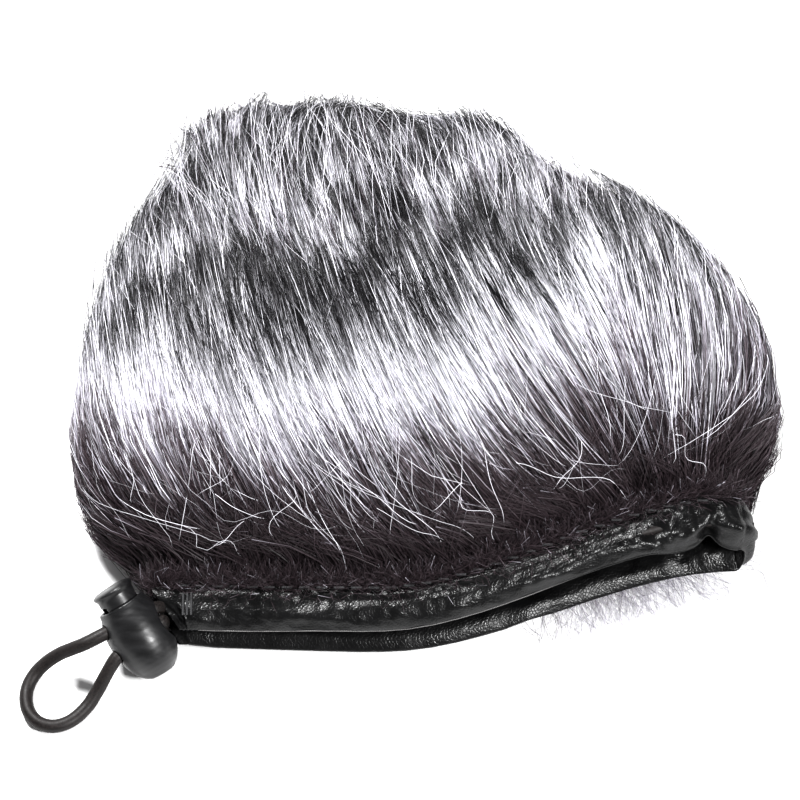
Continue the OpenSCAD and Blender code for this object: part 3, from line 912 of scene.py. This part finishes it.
def add_hairs(name, hairs, outward, width, band, shade, rng, twist=0.9):
    """Ribbons in pieces small enough to export whole, without the hairs that stray too far."""
    near = (np.abs(hairs[..., 0]).max(1) < MOST_X) & (hairs[..., 1].max(1) < MOST_Y)
    hairs, outward, width, band, shade = (a[near] for a in (hairs, outward, width, band, shade))
    per = MAX_QUADS // (hairs.shape[1] - 1)
    made = []
    for i in range(0, len(hairs), per):
        part = slice(i, i + per)
        title = f"{name}_{i // per + 1:02d}"
        each = (a[part] for a in (hairs, outward, width, band, shade))
        made.append(ribbons(title, *each, rng, twist))
    return made


class Pile:
    """One layer of long banded hair: its roots' share of the way to the crown, and how it grows."""

    def __init__(self, name, up, guides, per, seed, reach, rank, rise, length, tip):
        self.name, self.up, self.guides, self.per, self.seed = name, up, guides, per, seed
        self.reach, self.rank, self.rise, self.length, self.tip = reach, rank, rise, length, tip


# The hair rooted beside the hem lies outermost up to its tips, and the rest comes out beyond them
HEM_LENGTH, CROWN_LENGTH = (60 * MM, 72 * MM), (46 * MM, 58 * MM)
HEM_TIP, CROWN_TIP = (0.94, 0.10), (0.98, 0.13)
GUARD_STEPS = 8  # points along a long hair
GUIDES_A_LOCK = 9
MOST_LIFT = 7 * MM
PILES = (
    Pile("hem_hair_front", 1, 3300, 12, 11, (-0.1, 0.13), (0.8, 0.96), 8 * MM, HEM_LENGTH, HEM_TIP),
    Pile("crown_hair_front", 1, 2700, 9, 21, (0.08, 0.8), (0.66, 0.9), 20 * MM, CROWN_LENGTH, CROWN_TIP),
    Pile("hem_hair_back", -1, 1200, 8, 12, (-0.1, 0.2), (0.8, 0.96), 8 * MM, HEM_LENGTH, HEM_TIP),
    Pile("crown_hair_back", -1, 1200, 7, 22, (0.1, 0.9), (0.66, 0.9), 15 * MM, CROWN_LENGTH, CROWN_TIP),
)


def root_weight(pile):
    """How densely a layer's roots lie on the cloth; beside the seams, hem hair is rooted further up."""
    low, high = pile.reach

    def weight(c):
        along = along_pouch(c)
        side = smooth((np.abs(c[:, 0] - 3 * MM) - 38 * MM) / (20 * MM))
        inside = smooth((along - low) / 0.06) * (1 - smooth((along - high * (1 + 1.1 * side)) / 0.12))
        return inside + 1e-4

    return weight


def comb(pile, rng):
    """One layer's roots, its hairs and their outward directions, and the lock each guide is in."""
    guides = pile.guides
    roots, normals = scatter(pile.up, guides, rng, root_weight(pile))
    length = rng.uniform(*pile.length, guides)
    rank = rng.uniform(*pile.rank, guides)
    jitter = rng.normal(0, 0.08, guides)
    lines, outward = walk(roots, normals, length, rank, GUARD_STEPS, pile.rise, jitter)
    lines, lock = gather(lines, guides // GUIDES_A_LOCK, 0.62, rng)
    hairs, out = bundle(lines, outward, pile.per, 1.5 * MM, 0.55, 0.9 * MM, rng)
    count = len(hairs)
    lock_length = (0.78 + 0.22 * rng.random(lock.max() + 1) ** 0.7)[lock]
    cut = np.repeat(lock_length, pile.per) * (1 - 0.14 * rng.random(count) ** 1.5)
    hairs = shorten(hairs, cut)
    lift = 0.3 * rng.exponential(1, count) ** 1.7 * MM
    t = growth(GUARD_STEPS)[None]
    hairs = hairs + np.minimum(lift, MOST_LIFT)[:, None, None] * t[..., None] ** 2.6 * out
    return roots, hairs, out, lock


def dye(pile, roots, lock, rng):
    """Where one layer's hairs lie on the dye band at each of their points, and each hair's shade."""
    count, locks = len(roots) * pile.per, lock.max() + 1
    t = growth(GUARD_STEPS)[None]
    lock_shade = rng.random(locks)[lock]
    lock_tip = rng.random(locks)[lock]
    tip = pile.tip[0] + pile.tip[1] * np.repeat(lock_tip, pile.per) + rng.normal(0, 0.02, count)
    lock_root = 0.05 * rng.normal(0, 1, locks)[lock]
    guide_root = lock_root + 0.06 * rng.normal(0, 1, len(roots))
    dark_root = np.repeat(guide_root, pile.per) + 0.05 * rng.normal(0, 1, count)
    to_left = np.repeat(smooth((-roots[:, 0] - 33 * MM) / (22 * MM)), pile.per)
    to_right = np.repeat(smooth((roots[:, 0] - 30 * MM) / (25 * MM)), pile.per)
    dark_root = dark_root * (1 + 1.8 * to_right)
    shift = dark_root - 0.05 * to_left - 0.085 * to_right
    band = t * tip[:, None] + shift[:, None] * (t * (1 - t) * 4)
    is_pale = rng.random(count) < 0.15 + 0.33 * to_right
    pale = is_pale[:, None] * smooth(t / 0.2) * rng.uniform(0.46, 0.6, (count, 1))
    shade = np.repeat(0.25 + 0.65 * lock_shade, pile.per) + rng.normal(0, 0.25, count)
    return np.maximum(band, pale), shade


def guard_hair(pile):
    """The long banded hairs of one layer."""
    rng = np.random.default_rng(pile.seed)
    roots, hairs, out, lock = comb(pile, rng)
    band, shade = dye(pile, roots, lock, rng)
    width = taper(GUARD_STEPS, 0.22 * MM, 0.07 * MM) * (0.65 + 0.6 * rng.random((len(hairs), 1)))
    return add_hairs(pile.name, hairs, out, width, band, shade, rng)


def underfur(name, up, guides, per, seed):
    """The short dark wool under the long hairs, which shows beside the hem."""
    rng = np.random.default_rng(seed)
    steps = 5
    roots, normals = scatter(up, guides, rng, lambda c: 0.12 + (along_pouch(c) < 0.3))
    length = (11 + 10 * rng.random(guides)) * MM
    rank = 1.0 - 0.35 * rng.random(guides)
    lines, outward = walk(roots, normals, length, rank, steps, 6 * MM, rng.normal(0, 0.35, guides))
    hairs, out = bundle(lines, outward, per, 1.8 * MM, 0.1, 2.2 * MM, rng)
    count = len(hairs)
    t = np.linspace(0, 1, steps)[None]
    band = 0.05 + 0.22 * t + 0.28 * rng.random((count, 1)) ** 4 * t
    width = taper(steps, 0.16 * MM, 0.07 * MM) * (0.7 + 0.6 * rng.random((count, 1)))
    add_hairs(name, hairs, out, width, band, rng.random(count), rng)


def hem_fringe(run):
    """Short dark wool that stands over the seam between the fur and the hem."""
    rng = np.random.default_rng(51)
    steps, count = 5, 9000
    front, back = slice(0, HEM_ROWS), slice(HEM_ROWS + TURN_ROWS, None)
    for name, half in (("hem_fringe_front", front), ("hem_fringe_back", back)):
        points, out, inward = (part[half] for part in run)
        edge = np.argmin(np.abs(CASING_W - 0.8) + (np.sin(CASING_ANGLE) < 0))
        i = rng.integers(0, len(points), count)
        forward = np.cross(inward[i], out[i])
        root = points[i, edge] - 0.7 * MM * out[i] + rng.normal(0, 0.5, (count, 1)) * MM * inward[i]
        grow = rng.normal(0.65, 0.5, (count, 1)) * inward[i] + rng.normal(0, 0.6, (count, 1)) * forward
        heading = unit(grow + rng.uniform(0.2, 0.6, (count, 1)) * out[i])
        length = rng.uniform(2.5, 6.5, (count, 1, 1)) * MM
        lines = root[:, None] + heading[:, None] * length * growth(steps)[None, :, None]
        outward = np.repeat(out[i][:, None], steps, axis=1)
        hairs, turned = bundle(lines, outward, 1, 0.5 * MM, 0, 1.8 * MM, rng)
        band = 0.1 + 0.2 * growth(steps)[None] + 0.3 * rng.random((count, 1)) ** 8
        width = taper(steps, 0.13 * MM, 0.06 * MM) * rng.uniform(0.7, 1.3, (count, 1))
        add_hairs(name, hairs, turned, width, band, rng.random(count), rng)


def halo():
    """Single fine hairs that stand clear of the pile all round."""
    rng = np.random.default_rng(61)
    steps = 9
    for up, name, count in ((1, "halo_front", 2600), (-1, "halo_back", 1200)):
        roots, normals = scatter(up, count, rng, lambda c: 0.4 + smooth(np.abs(c[:, 0]) / (55 * MM)))
        length = rng.uniform(26, 56, count) * MM
        rank = rng.uniform(0.8, 1.0, count)
        lines, outward = walk(roots, normals, length, rank, steps, 9 * MM, rng.normal(0, 0.15, count))
        lift = 5.5 * MM * rng.random((count, 1, 1)) ** 2
        lines = lines + lift * growth(steps)[None, :, None] ** 2 * outward
        hairs, out = bundle(lines, outward, 1, 0.3 * MM, 0, 4.5 * MM, rng)
        band = growth(steps)[None] * rng.uniform(0.9, 1.1, (count, 1))
        width = taper(steps, 0.1 * MM, 0.05 * MM) * rng.uniform(0.8, 1.2, (count, 1))
        add_hairs(name, hairs, out, width, band, rng.uniform(0.5, 1, count), rng)


def strays():
    """Loose light hairs that wander over the dark fur near the hem."""
    rng = np.random.default_rng(31)
    steps, count = 20, 230
    roots, normals = scatter(1, count, rng, lambda c: (along_pouch(c) < 0.45) + 0.05)
    length = rng.uniform(14, 42, count) * MM
    rank = rng.uniform(0.92, 1.03, count)
    turn = rng.normal(0, 0.4, count)
    lines, outward = walk(roots, normals, length, rank, steps, 3 * MM, turn)
    hairs, out = bundle(lines, outward, 1, 0.3 * MM, 0, 3.4 * MM, rng)
    band = np.tile(0.62 + 0.08 * growth(steps), (count, 1))
    width = np.full((count, steps), 0.085 * MM) * rng.uniform(0.7, 1.3, (count, 1))
    add_hairs("stray_hair", hairs, out, width, band, rng.uniform(0.75, 1, count), rng)


def mouth_wisps():
    """Pale hair of the back panel that comes out under the right part of the hem."""
    rng = np.random.default_rng(41)
    steps, count = 10, 480
    start_x = np.minimum(rng.normal(38, 9, count), 58)
    start = np.stack([start_x, -31 + 0 * start_x, rng.uniform(0.2, 1.1, count)], axis=1) * MM
    start[:, 1] = np.interp(start[:, 0], HEM_LINE[:, 0], HEM_LINE[:, 1]) + rng.uniform(-2, 5, count) * MM
    angle = rng.normal(-1.0, 0.6, count)
    heading = np.stack([np.cos(angle), np.sin(angle), 0 * angle], axis=1)
    length = rng.uniform(10, 21, count) * MM
    t = np.linspace(0, 1, steps)[None, :, None]
    lines = start[:, None] + heading[:, None] * length[:, None, None] * t
    bend = rng.normal(0, 4, count)[:, None, None] * MM * t**2
    lines = lines + bend * np.stack([-heading[:, 1], heading[:, 0], 0 * angle], axis=1)[:, None]
    outward = np.tile(UP, (count, steps, 1))
    hairs, out = bundle(lines, outward, 1, 0.5 * MM, 0, 4.0 * MM, rng)
    band = np.linspace(0.40, 0.56, steps)[None] + rng.uniform(0, 0.1, (count, 1))
    width = taper(steps, 0.09 * MM, 0.04 * MM) * rng.uniform(0.7, 1.2, (count, 1))
    add_hairs("mouth_wisps", hairs, out, width, band, rng.uniform(0.6, 1, count), rng)


def add_fur():
    for pile in PILES:
        for piece in guard_hair(pile):
            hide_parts("fur_front" if pile.up > 0 else "fur_back")
    underfur("underfur_front", 1, 2600, 12, 13)
    underfur("underfur_back", -1, 900, 9, 14)
    hem_fringe(HEM_RUN)
    halo()
    strays()
    mouth_wisps()


add_fur()
